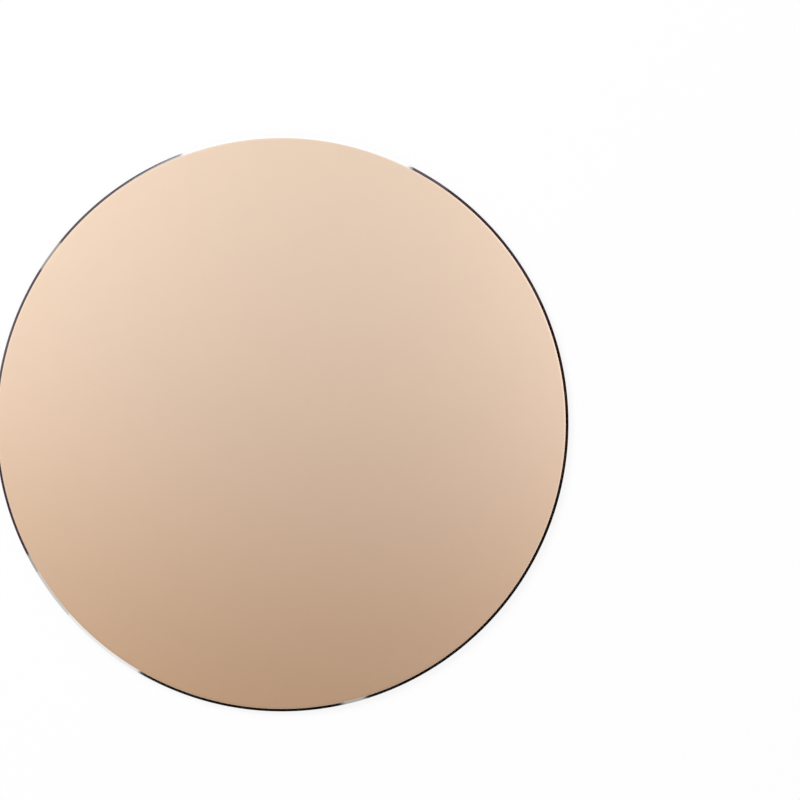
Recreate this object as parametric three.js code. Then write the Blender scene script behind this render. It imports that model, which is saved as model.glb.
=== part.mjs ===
// A round double-sided mouse pad: an anodised aluminium plate with a bright diamond-cut rim,
// and a disc of grained leather cloth bonded to its back.
// Millimetres, +Z up. The origin is the centre of the leather face that lies on the desk.

import * as THREE from "three";

// Driving dimensions

// The aluminium plate
const PAD_DIAMETER = 220;
const PLATE_THICKNESS = 2;

// The diamond-cut bevel round the metal face: its width seen from above, and its depth
const FACE_BEVEL_WIDTH = 1.1;
const FACE_BEVEL_DEPTH = 0.95;

// The shallower bevel round the back
const BACK_BEVEL_WIDTH = 1.1;
const BACK_BEVEL_DEPTH = 0.45;

// The bonded disc: the bare ring of metal left between the back bevel and the cut leather,
// the three layers that are cut with one die, and the roll that the die leaves on the grain side
const LEATHER_MARGIN = 0.4;
const ADHESIVE_THICKNESS = 0.125;
const BASE_CLOTH_THICKNESS = 0.625;
const GRAIN_SKIN_THICKNESS = 0.25;
const SKIN_EDGE_ROLL = 0.15;

// How finely the round pieces are faceted
const RIM_FACETS = 192;
const ROLL_STEPS = 4;

// Radii

const padRadius = PAD_DIAMETER / 2;
const faceRadius = padRadius - FACE_BEVEL_WIDTH;
const backRadius = padRadius - BACK_BEVEL_WIDTH;
const leatherRadius = backRadius - LEATHER_MARGIN;

// Levels: the layers are stacked up from the desk

const skinLevel = 0;
const clothLevel = skinLevel + GRAIN_SKIN_THICKNESS;
const adhesiveLevel = clothLevel + BASE_CLOTH_THICKNESS;
const plateLevel = adhesiveLevel + ADHESIVE_THICKNESS;

// Finishes

const champagneAnodising = new THREE.MeshStandardMaterial({
  color: "#deb998",
  metalness: 1,
  roughness: 0.42,
});
const clearAdhesive = new THREE.MeshStandardMaterial({
  color: "#d9d4c6",
  metalness: 0,
  roughness: 0.35,
});
const charcoalCloth = new THREE.MeshStandardMaterial({
  color: "#3a3a3b",
  metalness: 0,
  roughness: 0.95,
});
const blackLeather = new THREE.MeshStandardMaterial({
  color: "#252525",
  metalness: 0,
  roughness: 0.6,
});

// A solid of revolution about +Z, from a section of [radius, height] points that starts and ends
// on the axis, taken from its lowest point outwards and up.
function turned(section) {
  const points = section.map(([radius, height]) => new THREE.Vector2(radius, height));
  const geometry = new THREE.LatheGeometry(points, RIM_FACETS);
  geometry.rotateX(Math.PI / 2);
  return geometry;
}

// A named piece standing on its level in the stack.
function piece(name, geometry, material, level) {
  const mesh = new THREE.Mesh(geometry, material);
  mesh.name = name;
  mesh.position.z = level;
  return mesh;
}

// The plate: a flat disc whose edge is cut to a bevel on each side, with an upright land between them.
function aluminiumPlate() {
  const section = [
    [0, 0],
    [backRadius, 0],
    [padRadius, BACK_BEVEL_DEPTH],
    [padRadius, PLATE_THICKNESS - FACE_BEVEL_DEPTH],
    [faceRadius, PLATE_THICKNESS],
    [0, PLATE_THICKNESS],
  ];
  return piece("aluminium_plate", turned(section), champagneAnodising, plateLevel);
}

// A plain die-cut layer of the bonded disc.
function dieCutLayer(name, thickness, material, level) {
  const section = [
    [0, 0],
    [leatherRadius, 0],
    [leatherRadius, thickness],
    [0, thickness],
  ];
  return piece(name, turned(section), material, level);
}

// The grained skin: its lower edge is rolled over in a quarter round where the die came through.
function leatherGrainSkin() {
  const roll = new THREE.EllipseCurve(
    leatherRadius - SKIN_EDGE_ROLL,
    SKIN_EDGE_ROLL,
    SKIN_EDGE_ROLL,
    SKIN_EDGE_ROLL,
    -Math.PI / 2,
    0,
  );
  const rolledEdge = roll.getPoints(ROLL_STEPS).map((point) => [point.x, point.y]);
  const section = [
    [0, 0],
    ...rolledEdge,
    [leatherRadius, GRAIN_SKIN_THICKNESS],
    [0, GRAIN_SKIN_THICKNESS],
  ];
  return piece("leather_grain_skin", turned(section), blackLeather, skinLevel);
}

const mousePad = new THREE.Group();
mousePad.name = "mouse_pad";
mousePad.add(
  leatherGrainSkin(),
  dieCutLayer("leather_base_cloth", BASE_CLOTH_THICKNESS, charcoalCloth, clothLevel),
  dieCutLayer("adhesive_film", ADHESIVE_THICKNESS, clearAdhesive, adhesiveLevel),
  aluminiumPlate(),
);

export default mousePad;
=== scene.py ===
"""Dresses a round double-sided mouse pad: a blasted champagne plate over a pebbled leather back.

Sizes are in metres and angles in degrees, unless a name says otherwise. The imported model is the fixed
frame: +Z is up out of the metal face, and the leather face lies on the desk at the origin.
"""

import logging
import math
import random
from abc import ABC, abstractmethod
from collections.abc import Mapping, Sequence
from dataclasses import dataclass, field
from enum import Enum
from functools import cached_property

import bmesh
import bpy
from mathutils import Matrix, Vector, noise


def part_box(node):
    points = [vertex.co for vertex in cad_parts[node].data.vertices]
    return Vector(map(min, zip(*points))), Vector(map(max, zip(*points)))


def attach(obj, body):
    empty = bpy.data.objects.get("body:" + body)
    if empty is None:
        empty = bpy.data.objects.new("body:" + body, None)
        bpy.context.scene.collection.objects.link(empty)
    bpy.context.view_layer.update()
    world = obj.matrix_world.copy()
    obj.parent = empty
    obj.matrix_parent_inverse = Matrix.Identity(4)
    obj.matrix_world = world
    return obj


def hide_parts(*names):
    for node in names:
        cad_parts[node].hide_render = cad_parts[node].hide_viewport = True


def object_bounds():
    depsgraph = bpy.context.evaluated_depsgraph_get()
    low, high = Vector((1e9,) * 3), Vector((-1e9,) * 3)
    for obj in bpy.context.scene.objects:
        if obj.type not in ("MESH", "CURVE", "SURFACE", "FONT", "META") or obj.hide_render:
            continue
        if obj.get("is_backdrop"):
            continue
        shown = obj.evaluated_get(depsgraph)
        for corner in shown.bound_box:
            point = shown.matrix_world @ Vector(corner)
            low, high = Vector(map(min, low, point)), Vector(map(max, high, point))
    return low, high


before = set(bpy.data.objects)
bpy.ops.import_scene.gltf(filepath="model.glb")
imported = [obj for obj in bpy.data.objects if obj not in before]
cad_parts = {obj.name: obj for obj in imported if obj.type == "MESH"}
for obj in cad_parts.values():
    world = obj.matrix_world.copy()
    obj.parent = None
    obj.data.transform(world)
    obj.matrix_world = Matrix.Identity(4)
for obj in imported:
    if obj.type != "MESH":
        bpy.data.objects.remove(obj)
CAD_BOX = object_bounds()

log = logging.getLogger("mouse_pad")

BODY = "root"

# Places that differ by less than a micron count as one
MICRON = 1e-6
MICRON_PLACES = 6

# A step to another stretch of noise, so that two readings at one place differ
OTHER_NOISE = Vector((31.7, 17.3, 5.9))

Colour = tuple[float, float, float]
Point = tuple[float, float]
Span = tuple[float, float]
Socket = bpy.types.NodeSocket
SocketValue = float | Sequence[float] | Socket
SocketValues = Mapping[str | int, SocketValue]

WHITE: Colour = (1.0, 1.0, 1.0)


class Node(Enum):
    """The CAD nodes of the pad."""

    PLATE = "aluminium_plate"
    FILM = "adhesive_film"
    CLOTH = "leather_base_cloth"
    SKIN = "leather_grain_skin"


class Slot(Enum):
    """The record's material slots."""

    ANODISING = "champagne_anodising"
    ADHESIVE = "clear_adhesive"
    CLOTH = "charcoal_cloth"
    LEATHER = "black_leather"


# Node trees


class NodeBoard:
    """Adds and wires the nodes of one node tree."""

    def __init__(self, tree: bpy.types.NodeTree) -> None:
        """Starts with the tree emptied."""
        self.tree = tree
        tree.nodes.clear()

    def add(self, kind: str, values: SocketValues | None = None, **settings: object) -> bpy.types.Node:
        """Adds one node.

        Args:
            kind: the node's type, such as ShaderNodeBump.
            values: what each input holds, by name or place: a plain value, or the socket that feeds it.
            settings: the node's own properties.

        Returns:
            The new node.
        """
        node = self.tree.nodes.new(kind)
        for name, setting in settings.items():
            setattr(node, name, setting)
        for name, value in (values or {}).items():
            self._feed(node.inputs[name], value)
        return node

    def _feed(self, target: Socket, value: SocketValue) -> None:
        """Sets an input to a plain value, or links it to the socket that feeds it.

        Args:
            target: the input socket.
            value: a number, a vector, a colour without alpha, or an output socket.
        """
        if isinstance(value, Socket):
            self.tree.links.new(value, target)
        elif target.type == "RGBA":
            target.default_value = (*value, 1.0)
        else:
            target.default_value = value

    def math(self, operation: str, *values: SocketValue) -> Socket:
        """Gives the result of a Math node with these inputs."""
        return self.add("ShaderNodeMath", dict(enumerate(values)), operation=operation).outputs[0]

    def span(self, value: SocketValue, given: Span, wanted: Span, soft: bool = False) -> Socket:
        """Adds a clamped Map Range node.

        Args:
            value: the number to map.
            given: where the mapped stretch starts and ends.
            wanted: the results at its start and end.
            soft: True to ease in and out.

        Returns:
            The result's socket.
        """
        names = ("Value", "From Min", "From Max", "To Min", "To Max")
        values = dict(zip(names, (value, *given, *wanted)))
        kind = "SMOOTHSTEP" if soft else "LINEAR"
        return self.add("ShaderNodeMapRange", values, interpolation_type=kind).outputs[0]

    def scaled(self, colour: SocketValue, gain: SocketValue) -> Socket:
        """Gives a colour multiplied by a number."""
        return self.add("ShaderNodeVectorMath", {0: colour, "Scale": gain}, operation="SCALE").outputs[0]

    def shift(self, start: Colour, stop: Colour, share: SocketValue, onto: SocketValue) -> Socket:
        """Adds a share of the step between two colours to a third.

        Args:
            start: the colour that the step leaves.
            stop: the colour that it leads to.
            share: how much of the step is taken.
            onto: what the step is added to.

        Returns:
            The result's socket.
        """
        step = tuple(b - a for a, b in zip(start, stop))
        values = {0: step, 1: share, 2: onto}
        return self.add("ShaderNodeVectorMath", values, operation="MULTIPLY_ADD").outputs[0]

    def noise(self, vector: SocketValue, scale: SocketValue, detail: float = 2.0) -> Socket:
        """Adds a Noise Texture.

        Args:
            vector: the coordinates that it reads.
            scale: how many blotches lie in a metre.
            detail: how many finer octaves are added.

        Returns:
            The noise value's socket.
        """
        values = {"Vector": vector, "Scale": scale, "Detail": detail}
        return self.add("ShaderNodeTexNoise", values).outputs[0]

    def seen(self) -> Socket:
        """Tells a ray that looks at the surface from one that gathers its light.

        Returns:
            A socket that is 1 where it is looked at, straight on or in metal or glass, and 0 otherwise.
        """
        path = self.add("ShaderNodeLightPath").outputs
        shiny = self.math("MAXIMUM", path["Is Glossy Ray"], path["Is Transmission Ray"])
        return self.math("MAXIMUM", path["Is Camera Ray"], shiny)


class GroupKind(Enum):
    """The effects that several finishes share."""

    MOTTLE = "Soft mottle"
    PITTING = "Fine pitting"


@dataclass
class SharedEffects:
    """Builds each shared node group once and hands it out."""

    blotch_detail: float = 3.0
    blotch_span: Span = (0.25, 0.75)
    tooth_fineness: float = 2.6
    tooth_detail: float = 1.0
    made: dict[GroupKind, bpy.types.NodeTree] = field(default_factory=dict)

    def get(self, kind: GroupKind) -> bpy.types.NodeTree:
        """Gives a group's node tree, made on its first use.

        Args:
            kind: the effect that is wanted.

        Returns:
            The group's node tree.
        """
        if kind not in self.made:
            build = {GroupKind.MOTTLE: self._mottle, GroupKind.PITTING: self._pitting}[kind]
            self.made[kind] = build(kind.value)
        return self.made[kind]

    @staticmethod
    def _tree(name: str, inputs: Mapping[str, str], output: tuple[str, str]) -> bpy.types.NodeTree:
        """Starts a group with its named sockets.

        Args:
            name: the group's name.
            inputs: each input's name and socket type.
            output: the output's name and socket type.

        Returns:
            The group's node tree, with no nodes in it.
        """
        tree = bpy.data.node_groups.new(name, "ShaderNodeTree")
        for socket, kind in inputs.items():
            tree.interface.new_socket(socket, in_out="INPUT", socket_type=kind)
        tree.interface.new_socket(output[0], in_out="OUTPUT", socket_type=output[1])
        return tree

    def _mottle(self, name: str) -> bpy.types.NodeTree:
        """Makes the group that lightens and darkens a colour in soft blotches.

        Args:
            name: the group's name.

        Returns:
            The group's node tree.
        """
        inputs = {
            "Vector": "NodeSocketVector",
            "Colour": "NodeSocketColor",
            "Scale": "NodeSocketFloat",
            "Amount": "NodeSocketFloat",
        }
        tree = self._tree(name, inputs, ("Colour", "NodeSocketColor"))
        board = NodeBoard(tree)
        given = board.add("NodeGroupInput").outputs
        blotches = board.noise(given["Vector"], given["Scale"], self.blotch_detail)
        swing = board.span(blotches, self.blotch_span, (-1.0, 1.0))
        gain = board.math("ADD", board.math("MULTIPLY", swing, given["Amount"]), 1.0)
        board.add("NodeGroupOutput", {"Colour": board.scaled(given["Colour"], gain)})
        return tree

    def _pitting(self, name: str) -> bpy.types.NodeTree:
        """Makes the group for a fine uneven height: rounded pits over a finer tooth.

        Args:
            name: the group's name.

        Returns:
            The group's node tree.
        """
        inputs = {
            "Vector": "NodeSocketVector",
            "Scale": "NodeSocketFloat",
            "Tooth": "NodeSocketFloat",
        }
        tree = self._tree(name, inputs, ("Height", "NodeSocketFloat"))
        board = NodeBoard(tree)
        given = board.add("NodeGroupInput").outputs
        pit_values = {"Vector": given["Vector"], "Scale": given["Scale"]}
        pits = board.add("ShaderNodeTexVoronoi", pit_values, feature="SMOOTH_F1")
        fine_scale = board.math("MULTIPLY", given["Scale"], self.tooth_fineness)
        fine = board.noise(given["Vector"], fine_scale, self.tooth_detail)
        tooth = board.math("MULTIPLY", fine, given["Tooth"])
        board.add("NodeGroupOutput", {"Height": board.math("ADD", pits.outputs["Distance"], tooth)})
        return tree


EFFECTS = SharedEffects()


class MaterialBoard(NodeBoard):
    """The nodes of one new material."""

    def __init__(self, name: str) -> None:
        """Starts a material with no nodes.

        Args:
            name: the material's name.
        """
        self.material = bpy.data.materials.new(name)
        self.material.use_nodes = True
        super().__init__(self.material.node_tree)

    @cached_property
    def place(self) -> Socket:
        """The object's own coordinates, in metres."""
        return self.add("ShaderNodeTexCoord").outputs["Object"]

    def show(self, shader: bpy.types.Node) -> bpy.types.Material:
        """Makes a shader the surface of the material, and gives the material."""
        self.add("ShaderNodeOutputMaterial", {"Surface": shader.outputs[0]})
        return self.material

    def glow(self, colour: SocketValue, strength: SocketValue = 1.0) -> bpy.types.Material:
        """Makes the material shine alike to every side, and gives it."""
        return self.show(self.add("ShaderNodeEmission", {"Color": colour, "Strength": strength}))

    def mottled(self, colour: SocketValue, scale: float, amount: float) -> Socket:
        """Adds the shared mottle to a colour.

        Args:
            colour: the colour before it is mottled.
            scale: blotches in a metre.
            amount: the largest share by which a blotch is lighter or darker.

        Returns:
            The mottled colour's socket.
        """
        values = {"Vector": self.place, "Colour": colour, "Scale": scale, "Amount": amount}
        mottle = self.add("ShaderNodeGroup", values, node_tree=EFFECTS.get(GroupKind.MOTTLE))
        return mottle.outputs["Colour"]

    def pitted(self, scale: float, tooth: float) -> Socket:
        """Adds the shared fine pitting.

        Args:
            scale: pits in a metre.
            tooth: how strong the finer tooth is beside the pits.

        Returns:
            The height's socket.
        """
        values = {"Vector": self.place, "Scale": scale, "Tooth": tooth}
        pitting = self.add("ShaderNodeGroup", values, node_tree=EFFECTS.get(GroupKind.PITTING))
        return pitting.outputs["Height"]

    def raised(self, height: Socket, depth: float) -> Socket:
        """Turns a height, where 1 is the full depth, into a normal."""
        values = {"Height": height, "Distance": depth, "Strength": 1.0}
        return self.add("ShaderNodeBump", values).outputs[0]


# Finishes


class Finish(ABC):
    """A surface finish that can make its material."""

    name: str

    def material(self) -> bpy.types.Material:
        """Makes the finish's material."""
        board = MaterialBoard(self.name)
        return board.show(board.add("ShaderNodeBsdfPrincipled", self.dress(board)))

    @abstractmethod
    def dress(self, board: MaterialBoard) -> SocketValues:
        """Wires what the finish shows.

        Args:
            board: the material's nodes.

        Returns:
            What the Principled shader's inputs hold.
        """


@dataclass(frozen=True)
class ChampagneAnodising(Finish):
    """Bead-blasted aluminium, anodised champagne gold."""

    name: str = "Champagne anodising"
    colour: Colour = (0.700, 0.512, 0.384)
    dye_blotches_per_metre: float = 140.0
    dye_swing: float = 0.006
    roughness: float = 0.32
    roughness_swing: float = 0.015
    blast_pits_per_metre: float = 6500.0
    blast_tooth: float = 0.4
    blast_span: Span = (0.2, 0.9)
    blast_depth: float = 4.0e-6

    def dress(self, board: MaterialBoard) -> SocketValues:
        """Wires a faint unevenness of the dye and the pits of the bead blasting.

        Args:
            board: the material's nodes.

        Returns:
            What the Principled shader's inputs hold.
        """
        pits = board.pitted(self.blast_pits_per_metre, self.blast_tooth)
        dullest = self.roughness + self.roughness_swing
        brightest = self.roughness - self.roughness_swing
        return {
            "Base Color": board.mottled(self.colour, self.dye_blotches_per_metre, self.dye_swing),
            "Metallic": 1.0,
            "Roughness": board.span(pits, self.blast_span, (dullest, brightest)),
            "Normal": board.raised(pits, self.blast_depth),
        }


@dataclass(frozen=True)
class DiamondCut(Finish):
    """Bare aluminium as a diamond tool leaves it: a mirror with faint marks round the axis."""

    name: str = "Diamond-cut aluminium"
    colour: Colour = (0.905, 0.910, 0.915)
    tint_blotches_per_metre: float = 400.0
    tint_swing: float = 0.01
    roughness: float = 0.055
    polish_blotches_per_metre: float = 60.0
    polish_span: Span = (0.3, 0.7)
    polish_shares: Span = (0.8, 1.3)
    mark_pitch: float = 4.0e-5
    mark_depth: float = 0.8e-7

    def dress(self, board: MaterialBoard) -> SocketValues:
        """Wires the tool marks, which follow the distance from the axis, and a slow change in polish.

        Args:
            board: the material's nodes.

        Returns:
            What the Principled shader's inputs hold.
        """
        flat_values = {0: board.place, 1: (1.0, 1.0, 0.0)}
        flat = board.add("ShaderNodeVectorMath", flat_values, operation="MULTIPLY")
        radius = board.add("ShaderNodeVectorMath", {0: flat.outputs[0]}, operation="LENGTH")
        turns = board.math("DIVIDE", radius.outputs["Value"], self.mark_pitch / math.tau)
        polish = board.noise(board.place, self.polish_blotches_per_metre)
        best, worst = (self.roughness * share for share in self.polish_shares)
        return {
            "Base Color": board.mottled(self.colour, self.tint_blotches_per_metre, self.tint_swing),
            "Metallic": 1.0,
            "Roughness": board.span(polish, self.polish_span, (best, worst)),
            "Normal": board.raised(board.math("SINE", turns), self.mark_depth),
        }


@dataclass(frozen=True)
class BlackLeather(Finish):
    """Black leather cloth: satin on the pebbles, matt in the creases between them, where painted shade
    darkens the colour.
    """

    name: str = "Black pebbled leather"
    colour: Colour = (0.0235, 0.0233, 0.0232)
    # The share of the colour left deep in the creases: painted shade.
    crease_share: float = 0.28
    crease_shade_span: Span = (0.0, 0.8)
    dapples_per_metre: float = 620.0
    dapple_swing: float = 0.30
    clouds_per_metre: float = 45.0
    cloud_swing: float = 0.12
    satin: float = 0.48
    matt: float = 0.74
    shine_span: Span = (0.1, 0.9)
    wrinkles_per_metre: float = 2600.0
    wrinkle_tooth: float = 0.6
    wrinkle_depth: float = 1.6e-5
    height_attribute: str = "grain_height"

    def dress(self, board: MaterialBoard) -> SocketValues:
        """Wires the painted crease shade and the shine that follow the pebbles' height, and the fine
        wrinkles over them.

        Args:
            board: the material's nodes.

        Returns:
            What the Principled shader's inputs hold.
        """
        pebble = board.add("ShaderNodeAttribute", attribute_name=self.height_attribute).outputs["Fac"]
        # Painted shade: the colour darkens from the pebble tops down into the creases.
        toned = board.scaled(self.colour, board.span(pebble, self.crease_shade_span, (self.crease_share, 1.0)))
        dappled = board.mottled(toned, self.dapples_per_metre, self.dapple_swing)
        wrinkles = board.pitted(self.wrinkles_per_metre, self.wrinkle_tooth)
        return {
            "Base Color": board.mottled(dappled, self.clouds_per_metre, self.cloud_swing),
            "Roughness": board.span(pebble, self.shine_span, (self.matt, self.satin)),
            "Normal": board.raised(wrinkles, self.wrinkle_depth),
        }


@dataclass(frozen=True)
class CharcoalCloth(Finish):
    """The dyed textile base of the leather cloth, seen on its cut edge."""

    name: str = "Charcoal base cloth"
    colour: Colour = (0.040, 0.040, 0.041)
    dye_blotches_per_metre: float = 700.0
    dye_swing: float = 0.2
    roughness: float = 0.95
    fibres_per_metre: float = 5200.0
    fibre_tooth: float = 1.0
    fibre_span: Span = (0.3, 1.3)
    fibre_tones: Span = (0.55, 1.5)
    fibre_depth: float = 5.0e-5

    def dress(self, board: MaterialBoard) -> SocketValues:
        """Wires the cut fibre ends and their uneven dye.

        Args:
            board: the material's nodes.

        Returns:
            What the Principled shader's inputs hold.
        """
        fibres = board.pitted(self.fibres_per_metre, self.fibre_tooth)
        toned = board.scaled(self.colour, board.span(fibres, self.fibre_span, self.fibre_tones))
        return {
            "Base Color": board.mottled(toned, self.dye_blotches_per_metre, self.dye_swing),
            "Roughness": self.roughness,
            "Normal": board.raised(fibres, self.fibre_depth),
        }


@dataclass(frozen=True)
class ClearAdhesive(Finish):
    """Milky transfer film, seen as a hair line between the cloth and the plate."""

    name: str = "Milky adhesive"
    colour: Colour = (0.62, 0.60, 0.53)
    clouds_per_metre: float = 1500.0
    cloud_swing: float = 0.12
    refraction: float = 1.47
    waves_per_metre: float = 900.0
    wave_tooth: float = 0.5
    wave_span: Span = (0.3, 1.0)
    wave_roughness: Span = (0.28, 0.45)
    wave_depth: float = 2.0e-5

    def dress(self, board: MaterialBoard) -> SocketValues:
        """Wires the film's cloudiness and its uneven cut.

        Args:
            board: the material's nodes.

        Returns:
            What the Principled shader's inputs hold.
        """
        waves = board.pitted(self.waves_per_metre, self.wave_tooth)
        return {
            "Base Color": board.mottled(self.colour, self.clouds_per_metre, self.cloud_swing),
            "Roughness": board.span(waves, self.wave_span, self.wave_roughness),
            "IOR": self.refraction,
            "Normal": board.raised(waves, self.wave_depth),
        }


# Mesh helpers


def turn(section: Sequence[Point], facets: int) -> bmesh.types.BMesh:
    """Grows a solid of revolution about +Z, ring by ring.

    Args:
        section: points off the axis as (radius, height), from the lower face out and round to the upper.
        facets: how many sides each ring has.

    Returns:
        The solid, closed at both ends by a fan of triangles, with its faces pointing out.
    """
    bm = bmesh.new()
    (radius, height), *others = section
    level = Matrix.Translation((0.0, 0.0, height))
    bmesh.ops.create_circle(bm, cap_ends=False, radius=radius, segments=facets, matrix=level)
    first = list(bm.edges)
    last = grow_rings(bm, first, others)
    caps = [bmesh.ops.contextual_create(bm, geom=ring)["faces"][0] for ring in (first, last)]
    bmesh.ops.poke(bm, faces=caps)
    bmesh.ops.recalc_face_normals(bm, faces=bm.faces)
    return bm


def grow_rings(
    bm: bmesh.types.BMesh, ring: list[bmesh.types.BMEdge], section: Sequence[Point]
) -> list[bmesh.types.BMEdge]:
    """Extrudes a ring of edges along the rest of a section.

    Args:
        bm: the mesh that holds the ring.
        ring: the edges of one ring round the axis.
        section: the (radius, height) of each ring to add.

    Returns:
        The edges of the last ring.
    """
    for radius, height in section:
        grown = bmesh.ops.extrude_edge_only(bm, edges=ring)["geom"]
        ring = [part for part in grown if isinstance(part, bmesh.types.BMEdge)]
        for part in grown:
            if isinstance(part, bmesh.types.BMVert):
                part.co.xy *= radius / radius_of(part.co)
                part.co.z = height
    return ring


def wander(bm: bmesh.types.BMesh, from_radius: float, waves_per_metre: float, swing: float) -> None:
    """Moves the outer edge of a turned piece in and out by smooth noise.

    Args:
        bm: the piece.
        from_radius: vertices further out than this move.
        waves_per_metre: how closely the waves lie.
        swing: the most that a vertex moves.
    """
    for v in bm.verts:
        radius = radius_of(v.co)
        if radius > from_radius:
            v.co.xy *= 1.0 + swing * noise.noise(v.co * waves_per_metre) / radius


def radius_of(point: Vector) -> float:
    """Gives a point's distance from the pad's axis."""
    return math.hypot(point.x, point.y)


def row_order(point: Vector) -> Point:
    """Gives a key that sorts points row by row, so that no draw depends on a mesh's own order."""
    return round(point.y, MICRON_PLACES), round(point.x, MICRON_PLACES)


def section_corners(node: Node) -> list[Point]:
    """Reads the corners of a turned CAD node's section.

    Args:
        node: the CAD node.

    Returns:
        Each different (radius, height) of its vertices off the axis, lowest first.
    """
    corners = set()
    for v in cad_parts[node.value].data.vertices:
        corners.add((round(radius_of(v.co), MICRON_PLACES), round(v.co.z, MICRON_PLACES)))
    return sorted((c for c in corners if c[0] > 0.0), key=lambda corner: (corner[1], corner[0]))


def new_object(
    name: str, bm: bmesh.types.BMesh, materials: Sequence[bpy.types.Material]
) -> bpy.types.Object:
    """Makes a mesh object at the origin and links it to the scene.

    Args:
        name: the object's name.
        bm: its shape, which is freed.
        materials: one for each material number of its faces.

    Returns:
        The object.
    """
    mesh = bpy.data.meshes.new(name)
    bm.to_mesh(mesh)
    bm.free()
    for material in materials:
        mesh.materials.append(material)
    made = bpy.data.objects.new(name, mesh)
    bpy.context.scene.collection.objects.link(made)
    return made


def make_piece(
    name: str, bm: bmesh.types.BMesh, finishes: Sequence[Finish], sharp_degrees: float
) -> bpy.types.Object:
    """Makes a smooth-shaded piece of the pad.

    Args:
        name: the piece's name.
        bm: its shape, which is freed.
        finishes: one for each material number of its faces.
        sharp_degrees: edges that turn by more than this stay sharp.

    Returns:
        The piece.
    """
    piece = new_object(name, bm, [finish.material() for finish in finishes])
    piece.data.shade_smooth()
    piece.data.set_sharp_from_angle(angle=math.radians(sharp_degrees))
    return piece


def settle(piece: bpy.types.Object, node: Node, slot: Slot) -> None:
    """Puts a piece in the place of its CAD node and reports it.

    Args:
        piece: the finished piece.
        node: the CAD node that it stands for.
        slot: the record's slot for its finish; not used.
    """
    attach(piece, BODY)
    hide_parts(node.value)
    log.info("%s stands for %s with %d faces", piece.name, node.value, len(piece.data.polygons))


# The pad's pieces


@dataclass
class MetalPlate:
    """The blasted and anodised plate with its mirror-cut bevels."""

    leather_radius: float
    face_roll_width: float = 0.0008
    face_roll_drop: float = 0.00003
    face_roll_steps: int = 8
    corner_break: float = 0.00005
    corner_steps: int = 2
    facets: int = 512
    inner_rings: tuple[float, ...] = (0.25, 0.5, 0.75)
    sharp_degrees: float = 60.0
    large_face_weight: int = 100
    back: Point = field(init=False)
    land_low: Point = field(init=False)
    land_high: Point = field(init=False)
    face: Point = field(init=False)

    def __post_init__(self) -> None:
        """Takes the section's corners from the CAD node."""
        self.back, self.land_low, self.land_high, self.face = section_corners(Node.PLATE)

    def section(self) -> list[Point]:
        """Works out the section from the back round to the face.

        Returns:
            The (radius, height) of each ring.
        """
        face_radius, face_level = self.face
        face_rings = [(face_radius * share, face_level) for share in reversed(self.inner_rings)]
        back_rings = [(self.leather_radius * share, self.back[1]) for share in self.inner_rings]
        seat = (self.leather_radius, self.back[1])
        roll = []
        for step in range(self.face_roll_steps, -1, -1):
            share = step / self.face_roll_steps
            inset = self.face_roll_width * (1.0 - share)
            roll.append((face_radius - inset, face_level - self.face_roll_drop * share**2))
        return [*back_rings, seat, self.back, self.land_low, self.land_high, *roll, *face_rings]

    def build(self) -> bpy.types.Object:
        """Turns the plate, breaks its corners and dresses it.

        Returns:
            The finished piece.
        """
        bm = turn(self.section(), self.facets)
        rolled_face = (self.face[0], self.face[1] - self.face_roll_drop)
        corners = (self.back, self.land_low, self.land_high, rolled_face)
        broken = [e for e in bm.edges if any(self._lies_on(e, corner) for corner in corners)]
        bmesh.ops.bevel(
            bm,
            geom=broken,
            offset=self.corner_break,
            offset_type="OFFSET",
            segments=self.corner_steps,
            profile=0.5,
            affect="EDGES",
            material=-1,
        )
        for f in bm.faces:
            f.material_index = int(self._is_cut(f.calc_center_median()))
        finishes = (ChampagneAnodising(), DiamondCut())
        piece = make_piece("blasted_plate", bm, finishes, self.sharp_degrees)
        weighted = piece.modifiers.new("Flat faces stay flat", "WEIGHTED_NORMAL")
        weighted.weight = self.large_face_weight
        weighted.keep_sharp = True
        settle(piece, Node.PLATE, Slot.ANODISING)
        return piece

    @staticmethod
    def _lies_on(edge: bmesh.types.BMEdge, corner: Point) -> bool:
        """Tells whether an edge runs round the plate on one of the section's corners.

        Args:
            edge: an edge of the turned plate.
            corner: the corner as (radius, height).

        Returns:
            True if both its ends are on the corner's circle.
        """
        radius, height = corner
        ends = [v.co for v in edge.verts]
        return all(abs(radius_of(end) - radius) < MICRON and abs(end.z - height) < MICRON for end in ends)

    def _is_cut(self, centre: Vector) -> bool:
        """Tells whether the diamond tool passed over a face.

        Args:
            centre: the face's centre.

        Returns:
            True on the bevels, the land and the bare ring round the leather.
        """
        radius = radius_of(centre)
        if centre.z < self.land_high[1]:
            return radius > self.leather_radius
        return radius > self.face[0] - self.corner_break / 2.0


@dataclass
class BondLine:
    """The film of adhesive, with the uneven bead that its pressing leaves on the edge."""

    bead: float = 0.00006
    bead_swing: float = 0.00008
    bead_steps: int = 6
    wandering_width: float = 0.00012
    waves_per_metre: float = 160.0
    inner_share: float = 0.6
    facets: int = 720
    sharp_degrees: float = 40.0

    def build(self) -> bpy.types.Object:
        """Turns the film with a round edge, then lets the edge wander.

        Returns:
            The finished piece.
        """
        low, high = section_corners(Node.FILM)
        radius = low[0] - self.bead_swing
        middle = (low[1] + high[1]) / 2.0
        half = (high[1] - low[1]) / 2.0
        edge = []
        for step in range(self.bead_steps + 1):
            angle = math.pi * (step / self.bead_steps - 0.5)
            edge.append((radius + self.bead * (math.cos(angle) - 1.0), middle + half * math.sin(angle)))
        inner = radius * self.inner_share
        bm = turn([(inner, low[1]), *edge, (inner, high[1])], self.facets)
        wander(bm, radius - self.wandering_width, self.waves_per_metre, self.bead_swing)
        piece = make_piece("bond_line", bm, (ClearAdhesive(),), self.sharp_degrees)
        settle(piece, Node.FILM, Slot.ADHESIVE)
        return piece


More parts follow.
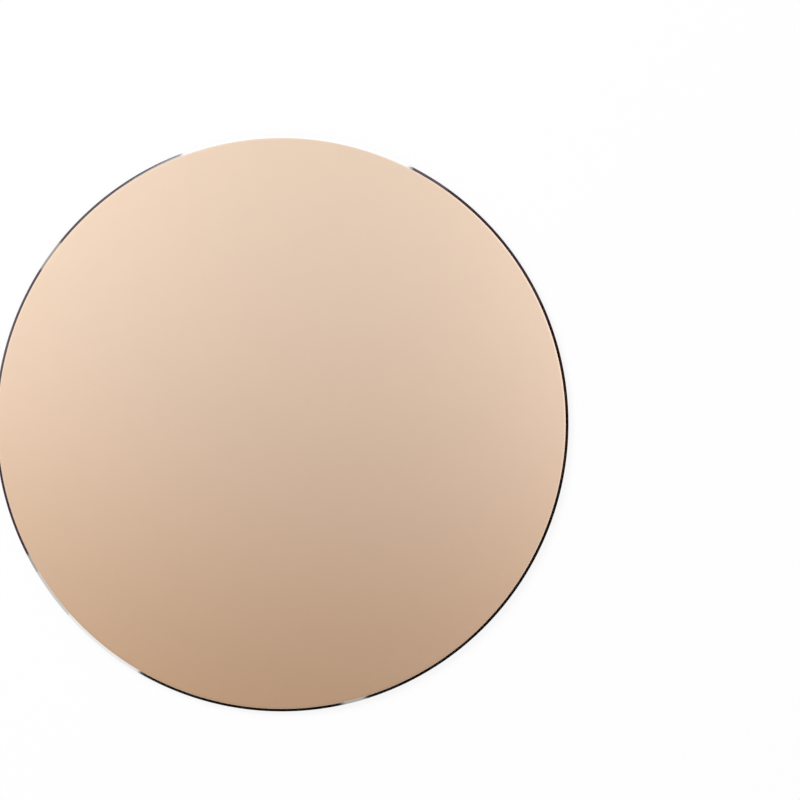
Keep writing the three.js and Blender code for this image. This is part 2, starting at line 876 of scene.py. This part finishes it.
@dataclass
class ClothBacking:
    """The textile base of the leather cloth, with the knit's loops cut through on its edge."""

    loop_pitch: float = 0.0009
    loop_depth: float = 0.00005
    steps_per_loop: int = 4
    edge_steps: int = 4
    edge_width: float = 0.0018
    fray: float = 0.00004
    frays_per_metre: float = 1900.0
    sharp_degrees: float = 50.0

    def build(self) -> bpy.types.Object:
        """Turns the cloth, then draws its cut edge in and out with the loops.

        Returns:
            The finished piece.
        """
        low, high = section_corners(Node.CLOTH)
        radius = low[0] - self.loop_depth - self.fray
        thickness = high[1] - low[1]
        loops = round(math.tau * radius / self.loop_pitch)
        levels = [low[1] + thickness * step / self.edge_steps for step in range(self.edge_steps + 1)]
        inner = radius - self.edge_width
        section = [(inner, low[1]), *((radius, level) for level in levels), (inner, high[1])]
        bm = turn(section, loops * self.steps_per_loop)
        for v in bm.verts:
            if radius_of(v.co) > radius - self.loop_pitch:
                angle = math.atan2(v.co.y, v.co.x)
                row = round((v.co.z - low[1]) / thickness * self.edge_steps)
                swing = math.cos(angle * loops + math.pi * (row % 2)) * self.loop_depth
                v.co.xy *= 1.0 + swing / radius
        wander(bm, radius - self.loop_pitch, self.frays_per_metre, self.fray)
        piece = make_piece("cloth_backing", bm, (CharcoalCloth(),), self.sharp_degrees)
        settle(piece, Node.CLOTH, Slot.CLOTH)
        return piece


@dataclass
class PebbledSkin:
    """The grained skin: thousands of raised pebbles between creases, cut with a rolled edge."""

    cell_pitch: float = 0.0020
    spare_rows: int = 2
    turned_share: float = 0.18
    relax_steps: int = 8
    relax_factor: float = 0.5
    corner_jitter: float = 0.12
    drift: float = 0.0008
    drifts_per_metre: float = 140.0
    joined_share: float = 0.06
    crease_share: float = 0.20
    rise_share: float = 0.12
    crease_level: float = 0.00017
    pebble_crown: float = 0.00003
    shoulder_rounding: float = 0.5
    plain_border: float = 0.00030
    border_room_share: float = 0.2
    border_rows: float = 2.5
    least_inner_corners: int = 2
    roll_steps: int = 5
    sharp_degrees: float = 60.0
    seed: int = 5
    radius: float = field(init=False)
    thickness: float = field(init=False)

    def __post_init__(self) -> None:
        """Takes the skin's radius and thickness from the CAD node."""
        low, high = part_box(Node.SKIN.value)
        self.radius = high.x
        self.thickness = high.z - low.z

    def build(self) -> bpy.types.Object:
        """Lays the cells, raises the pebbles, closes the disc and dresses it.

        Returns:
            The finished piece.
        """
        bm = self._lay_cells()
        self._raise_pebbles(bm)
        self._close_disc(bm)
        bmesh.ops.recalc_face_normals(bm, faces=bm.faces)
        if bm.calc_volume(signed=True) < 0.0:
            bmesh.ops.reverse_faces(bm, faces=bm.faces)
        piece = make_piece("pebbled_skin", bm, (BlackLeather(),), self.sharp_degrees)
        self._mark_heights(piece.data)
        settle(piece, Node.SKIN, Slot.LEATHER)
        return piece

    def _lay_cells(self) -> bmesh.types.BMesh:
        """Lays uneven six-sided cells over the disc.

        A brick-laid grid is cut into equal triangles. Every third point is dissolved, which leaves the
        hexagon round it as one face.

        Returns:
            The cells, facing the desk, at the level of the creases.
        """
        step = self.cell_pitch / math.sqrt(3.0)
        row_gap = step * math.sqrt(3.0) / 2.0
        columns = math.ceil(self.radius / step) + self.spare_rows
        rows = math.ceil(self.radius / row_gap) + self.spare_rows
        bm = bmesh.new()
        bmesh.ops.create_grid(bm, x_segments=2 * columns, y_segments=2 * rows, size=1.0)
        centres = []
        for v in bm.verts:
            column = round((v.co.x + 1.0) * columns)
            row = round((v.co.y + 1.0) * rows)
            v.co = ((column - columns + 0.5 * (row % 2)) * step, (row - rows) * row_gap, self.crease_level)
            if (column - row // 2 - row) % 3 == 0 and not v.is_boundary:
                centres.append(v)
        bmesh.ops.triangulate(bm, faces=bm.faces, quad_method="SHORT_EDGE")
        bmesh.ops.dissolve_verts(bm, verts=centres)
        self._make_uneven(bm, step)
        self._round_off(bm)
        bm.normal_update()
        bmesh.ops.reverse_faces(bm, faces=[f for f in bm.faces if f.normal.z > 0.0])
        return bm

    def _make_uneven(self, bm: bmesh.types.BMesh, step: float) -> None:
        """Makes the cells irregular: turned sides, a slow drift, jittered corners and a few joined pairs.

        Args:
            bm: the regular cells.
            step: the length of a regular cell's side.
        """
        draw = random.Random(self.seed)
        turned = self._draw_sides(bm, draw, self.turned_share)
        bmesh.ops.rotate_edges(bm, edges=turned, use_ccw=True)
        for _ in range(self.relax_steps):
            self._relax(bm, bm.verts)
        joined = self._draw_sides(bm, draw, self.joined_share)
        jitter = self.corner_jitter * step
        for v in sorted(bm.verts, key=lambda v: row_order(v.co)):
            slow = v.co * self.drifts_per_metre
            v.co.x += self.drift * noise.noise(slow) + draw.uniform(-jitter, jitter)
            v.co.y += self.drift * noise.noise(slow + OTHER_NOISE) + draw.uniform(-jitter, jitter)
        bmesh.ops.dissolve_edges(bm, edges=joined, use_verts=True)

    def _relax(self, bm: bmesh.types.BMesh, verts: Sequence[bmesh.types.BMVert]) -> None:
        """Draws flat cells' corners towards their neighbours' middle."""
        bmesh.ops.smooth_vert(bm, verts=verts, factor=self.relax_factor, use_axis_x=True, use_axis_y=True)

    @staticmethod
    def _draw_sides(bm: bmesh.types.BMesh, draw: random.Random, share: float) -> list[bmesh.types.BMEdge]:
        """Draws sides at random, with no two of them on one cell.

        Args:
            bm: the cells.
            draw: the source of chance.
            share: how many of the inner sides are tried.

        Returns:
            The sides drawn.
        """
        inner = [e for e in bm.edges if len(e.link_faces) == 2]
        inner.sort(key=lambda e: row_order(e.verts[0].co + e.verts[1].co))
        taken = set()
        drawn = []
        for side in draw.sample(inner, round(len(inner) * share)):
            if taken.isdisjoint(side.link_faces):
                taken.update(side.link_faces)
                drawn.append(side)
        return drawn

    def _round_off(self, bm: bmesh.types.BMesh) -> None:
        """Cuts the cells off round the disc.

        Cells past the edge and cells that would hang from it by a corner are dropped. The outermost
        corners are then drawn onto one circle while the rows beside them relax.

        Args:
            bm: the cells, which reach past the edge.
        """
        reach = self.radius - self.plain_border
        kept = reach - self.border_room_share * self.cell_pitch
        outside = [f for f in bm.faces if radius_of(f.calc_center_median()) > kept]
        bmesh.ops.delete(bm, geom=outside, context="FACES")
        hanging = []
        for f in bm.faces:
            if sum(not v.is_boundary for v in f.verts) < self.least_inner_corners:
                hanging.append(f)
        bmesh.ops.delete(bm, geom=hanging, context="FACES")
        border_start = reach - self.border_rows * self.cell_pitch
        border = [v for v in bm.verts if radius_of(v.co) > border_start]
        for _ in range(self.relax_steps):
            self._relax(bm, border)
            for v in border:
                if v.is_boundary:
                    v.co.xy *= reach / radius_of(v.co)

    def _raise_pebbles(self, bm: bmesh.types.BMesh) -> None:
        """Raises each cell to a crowned pebble, the larger ones higher, with the creases left between.

        Args:
            bm: the flat cells.
        """
        cells = list(bm.faces)
        bmesh.ops.inset_individual(
            bm,
            faces=cells,
            thickness=self.crease_share,
            depth=self.rise_share,
            use_even_offset=False,
            use_relative_offset=True,
        )
        shoulders = list({v for f in cells for v in f.verts})
        bmesh.ops.poke(bm, faces=cells, offset=self.pebble_crown, center_mode="MEAN_WEIGHTED")
        bmesh.ops.smooth_vert(
            bm,
            verts=shoulders,
            factor=self.shoulder_rounding,
            use_axis_x=True,
            use_axis_y=True,
            use_axis_z=True,
        )
        for v in bm.verts:
            v.co.z = max(0.0, v.co.z)

    def _close_disc(self, bm: bmesh.types.BMesh) -> None:
        """Rolls the cut edge up from the outermost creases and closes the side that is bonded.

        Args:
            bm: the raised pebbles.
        """
        outline = [e for e in bm.edges if e.is_boundary]
        roll = self.thickness - self.crease_level
        edge = [(self.radius - roll, self.crease_level)]
        for step in range(1, self.roll_steps + 1):
            angle = math.pi / 2.0 * step / self.roll_steps
            inset = roll * (1.0 - math.sin(angle))
            edge.append((self.radius - inset, self.crease_level + roll * (1.0 - math.cos(angle))))
        rim = grow_rings(bm, outline, edge)
        bmesh.ops.contextual_create(bm, geom=rim)

    def _mark_heights(self, mesh: bpy.types.Mesh) -> None:
        """Writes each point's height over the creases to the attribute that the leather's finish reads.

        Args:
            mesh: the finished skin.
        """
        heights = mesh.attributes.new(BlackLeather.height_attribute, "FLOAT", "POINT")
        shares = [max(0.0, 1.0 - v.co.z / self.crease_level) for v in mesh.vertices]
        heights.data.foreach_set("value", shares)


# The studio


def reflection_only(name: str, bm: bmesh.types.BMesh, material: bpy.types.Material) -> bpy.types.Object:
    """Makes a part of the set that the camera and soft light pass through, so it shows only in reflections.

    Args:
        name: its name.
        bm: its shape, which is freed.
        material: what it is made of.

    Returns:
        The object, marked as stage.
    """
    made = new_object(name, bm, [material])
    made.visible_camera = False
    made.visible_diffuse = False
    made.visible_shadow = False
    made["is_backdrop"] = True
    return made


class CardTone(Enum):
    """The tones of the cards round the set."""

    BLACK = (0.006, 0.003, 0.002)
    MAROON = (0.018, 0.004, 0.004)
    PLUM = (0.050, 0.028, 0.034)
    SLATE = (0.122, 0.096, 0.108)
    GREY = (0.450, 0.410, 0.370)
    PALE = (0.670, 0.650, 0.630)
    CHALK = (0.900, 0.900, 0.900)
    WHITE = (1.120, 1.120, 1.120)

    def material(self) -> bpy.types.Material:
        """Makes the tone's material, or finds the one already made.

        Returns:
            The material.
        """
        name = f"Card {self.name.lower()}"
        made = bpy.data.materials.get(name)
        if made is None:
            made = MaterialBoard(name).glow(self.value)
        return made


class CardHeight(Enum):
    """A card's foot and head: highest where the leaning camera's view runs up from the rim most steeply."""

    LOW = (0.020, 0.070)
    MIDDLE = (0.050, 0.130)
    HIGH = (0.075, 0.155)
    TALL = (0.090, 0.180)


@dataclass(frozen=True)
class Card:
    """One curved card that hangs clear of the floor beside the pad and shows mostly in its polished edge.

    It runs round the pad from the end of the card before it.
    """

    end: float
    tone: CardTone
    height: CardHeight
    degrees_per_step: float = 2.0
    least_steps: int = 4

    def build(self, start: float, radius: float) -> bpy.types.Object:
        """Hangs the card.

        Args:
            start: where it starts, from +X towards +Y.
            radius: its distance from the pad's axis.

        Returns:
            The card.
        """
        bm = bmesh.new()
        turned = Matrix.Rotation(math.radians(start), 3, "Z")
        verts = [bm.verts.new(turned @ Vector((radius, 0.0, level))) for level in self.height.value]
        edge = bm.edges.new(verts)
        sweep = self.end - start
        steps = max(self.least_steps, math.ceil(sweep / self.degrees_per_step))
        angle = math.radians(sweep)
        bmesh.ops.spin(bm, geom=[*verts, edge], axis=(0.0, 0.0, 1.0), angle=angle, steps=steps)
        return reflection_only(f"card_{round(start)}", bm, self.tone.material())


@dataclass
class Scrim:
    """The cloth stretched over the set, which gives the metal its gradient.

    It is dim and warm at the near end, most of all on the left, bright at the far end, and lit up towards
    both sides.
    """

    height: float = 0.35
    half_side: float = 0.34
    segments: int = 8
    near_left_tone: Colour = (0.443, 0.331, 0.198)
    near_right_tone: Colour = (0.443, 0.338, 0.245)
    middle_tone: Colour = (0.957, 1.028, 1.088)
    far_tone: Colour = (1.256, 1.335, 1.355)
    near_edge: float = -0.142
    middle: float = 0.062
    far_edge: float = 0.266
    left_end: float = -0.142
    right_end: float = 0.078
    valley: float = -0.022
    sides_start: float = 0.044
    sides_end: float = 0.266
    left_lift: float = 0.84
    right_lift: float = 1.46

    def build(self) -> bpy.types.Object:
        """Stretches the scrim.

        Returns:
            The scrim.
        """
        bm = bmesh.new()
        lift = Matrix.Translation((0.0, 0.0, self.height))
        cells = self.segments
        bmesh.ops.create_grid(bm, x_segments=cells, y_segments=cells, size=self.half_side, matrix=lift)
        return reflection_only("scrim", bm, self._material())

    def _material(self) -> bpy.types.Material:
        """Makes the scrim's glow.

        Returns:
            The material.
        """
        board = MaterialBoard("Scrim")
        axes = board.add("ShaderNodeSeparateXYZ", {0: board.place}).outputs
        near_half = board.span(axes["Y"], (self.near_edge, self.middle), (0.0, 1.0))
        far_half = board.span(axes["Y"], (self.middle, self.far_edge), (0.0, 1.0))
        near_share = board.math("SUBTRACT", 1.0, near_half)
        crossed = board.span(axes["X"], (self.left_end, self.right_end), (0.0, 1.0))
        cooled = board.math("MULTIPLY", crossed, near_share)
        tone = board.shift(self.near_left_tone, self.near_right_tone, cooled, self.near_left_tone)
        tone = board.shift(self.near_left_tone, self.middle_tone, near_half, tone)
        tone = board.shift(self.middle_tone, self.far_tone, far_half, tone)
        across = board.math("SUBTRACT", axes["X"], self.valley)
        left = board.span(across, (self.sides_start, -self.sides_end), (0.0, self.left_lift), soft=True)
        right = board.span(across, (self.sides_start, self.sides_end), (0.0, self.right_lift), soft=True)
        return board.glow(tone, board.math("ADD", board.math("ADD", left, right), 1.0))


@dataclass
class TentWall:
    """The round wall of cloth under the scrim, dim at the foot, which the metal shows from low down."""

    radius: float = 0.72
    foot: float = 0.0
    top: float = 0.50
    foot_tone: Colour = (0.62, 0.60, 0.58)
    top_tone: Colour = (1.12, 1.12, 1.12)
    facets: int = 96

    def build(self) -> bpy.types.Object:
        """Hangs the wall.

        Returns:
            The wall.
        """
        bm = bmesh.new()
        level = Matrix.Translation((0.0, 0.0, self.foot))
        bmesh.ops.create_circle(bm, cap_ends=False, radius=self.radius, segments=self.facets, matrix=level)
        grow_rings(bm, list(bm.edges), [(self.radius, self.top)])
        return reflection_only("tent_wall", bm, self._material())

    def _material(self) -> bpy.types.Material:
        """Makes the wall's glow.

        Returns:
            The material.
        """
        board = MaterialBoard("Tent wall")
        height = board.add("ShaderNodeSeparateXYZ", {0: board.place}).outputs["Z"]
        share = board.span(height, (self.foot, self.top), (0.0, 1.0))
        return board.glow(board.shift(self.foot_tone, self.top_tone, share, self.foot_tone))


@dataclass
class Studio:
    """The white floor, the soft light, the cards round the set and the camera."""

    pad_radius: float
    rim_level: float
    image_side_px: float = 800.0
    pad_centre_px: Point = (281.3, 423.4)
    pad_radius_px: float = 288.15
    lean: float = 5.2
    lens_mm: float = 600.0
    sensor_mm: float = 36.0
    far_clip: float = 60.0
    floor_radius: float = 12.0
    floor_facets: int = 96
    floor_drop: float = 0.00002
    floor_tone: float = 0.90
    floor_glow_share: float = 0.80
    ambient: float = 0.80
    key_power: float = 17.0
    key_side: float = 0.9
    key_place: tuple[float, float, float] = (-1.0, 1.0, 1.3)
    card_radius: float = 0.70
    first_card_start: float = -82.4
    cards: tuple[Card, ...] = (
        Card(-77.5, CardTone.GREY, CardHeight.MIDDLE),
        Card(-52.0, CardTone.BLACK, CardHeight.HIGH),
        Card(-13.0, CardTone.BLACK, CardHeight.TALL),
        Card(27.0, CardTone.MAROON, CardHeight.TALL),
        Card(50.0, CardTone.PLUM, CardHeight.TALL),
        Card(58.5, CardTone.PLUM, CardHeight.HIGH),
        Card(67.4, CardTone.SLATE, CardHeight.HIGH),
        Card(115.0, CardTone.WHITE, CardHeight.MIDDLE),
        Card(144.0, CardTone.SLATE, CardHeight.LOW),
        Card(150.0, CardTone.GREY, CardHeight.LOW),
        Card(173.5, CardTone.SLATE, CardHeight.LOW),
        Card(186.5, CardTone.WHITE, CardHeight.LOW),
        Card(205.2, CardTone.PLUM, CardHeight.LOW),
        Card(208.8, CardTone.GREY, CardHeight.LOW),
        Card(218.7, CardTone.PALE, CardHeight.LOW),
        Card(236.0, CardTone.CHALK, CardHeight.LOW),
        Card(277.6, CardTone.BLACK, CardHeight.MIDDLE),
    )

    def build(self) -> None:
        """Sets up everything that isn't the pad."""
        self._camera()
        self._floor()
        self._world()
        self._key_light()
        Scrim().build()
        TentWall().build()
        start = self.first_card_start
        for card in self.cards:
            card.build(start, self.card_radius)
            start = card.end
        bpy.context.scene.view_settings.view_transform = "Standard"
        log.info("studio set with %d cards", len(self.cards))

    def _camera(self) -> None:
        """Hangs the camera over the pad, leaning to the right, with the rim where the photograph has it."""
        metres_per_px = self.pad_radius / self.pad_radius_px
        middle = self.image_side_px / 2.0
        across = (middle - self.pad_centre_px[0]) * metres_per_px
        up = (self.pad_centre_px[1] - middle) * metres_per_px
        field_side = self.image_side_px * metres_per_px
        data = bpy.data.cameras.new("camera")
        data.lens = self.lens_mm
        data.sensor_width = self.sensor_mm
        data.clip_end = self.far_clip
        camera = bpy.data.objects.new("camera", data)
        leaned = Matrix.Rotation(math.radians(self.lean), 4, "Y")
        place = Matrix.Translation((across, up, field_side * self.lens_mm / self.sensor_mm))
        camera.matrix_world = Matrix.Translation((0.0, 0.0, self.rim_level)) @ leaned @ place
        bpy.context.scene.collection.objects.link(camera)
        bpy.context.scene.camera = camera

    def _floor(self) -> None:
        """Lays the white floor, which keeps a faint shadow of the pad."""
        bm = bmesh.new()
        drop = Matrix.Translation((0.0, 0.0, -self.floor_drop))
        facets = self.floor_facets
        bmesh.ops.create_circle(bm, cap_ends=True, radius=self.floor_radius, segments=facets, matrix=drop)
        board = MaterialBoard("White floor")
        paint = board.add("ShaderNodeBsdfDiffuse", {"Color": (self.floor_tone,) * 3})
        glow = board.add("ShaderNodeEmission", {"Color": WHITE, "Strength": 1.0})
        share = board.math("MULTIPLY", board.seen(), self.floor_glow_share)
        mixed = board.add("ShaderNodeMixShader", {0: share, 1: paint.outputs[0], 2: glow.outputs[0]})
        new_object("floor", bm, [board.show(mixed)])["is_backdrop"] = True

    def _world(self) -> None:
        """Fills the world with white to look at and soft light to see by."""
        world = bpy.data.worlds.new("white room")
        world.use_nodes = True
        board = NodeBoard(world.node_tree)
        strength = board.span(board.seen(), (0.0, 1.0), (self.ambient, 1.0))
        sky = board.add("ShaderNodeBackground", {"Color": WHITE, "Strength": strength})
        board.add("ShaderNodeOutputWorld", {"Surface": sky.outputs[0]})
        bpy.context.scene.world = world

    def _key_light(self) -> None:
        """Hangs one large soft lamp up and to the left."""
        data = bpy.data.lights.new("key", "AREA")
        data.shape = "SQUARE"
        data.size = self.key_side
        data.energy = self.key_power
        lamp = bpy.data.objects.new("key", data)
        lamp.location = self.key_place
        lamp.rotation_euler = Vector(self.key_place).to_track_quat("Z", "Y").to_euler()
        lamp.visible_glossy = False
        bpy.context.scene.collection.objects.link(lamp)


def write_sizes() -> None:
    """Works out the CAD box and the dressed pad's box, each as its lowest and highest corner."""
    boxes = {"cad": CAD_BOX, "visual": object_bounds()}
    plain = {name: [list(low), list(high)] for name, (low, high) in boxes.items()}


def main() -> None:
    """Builds the studio and the pad's pieces from the plate down."""
    logging.basicConfig(level=logging.INFO, format="%(name)s: %(message)s")
    leather_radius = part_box(Node.SKIN.value)[1].x
    plate = MetalPlate(leather_radius=leather_radius)
    Studio(pad_radius=plate.land_high[0], rim_level=plate.land_high[1]).build()
    plate.build()
    BondLine().build()
    ClothBacking().build()
    PebbledSkin().build()
    write_sizes()


if __name__ == "__main__":
    main()
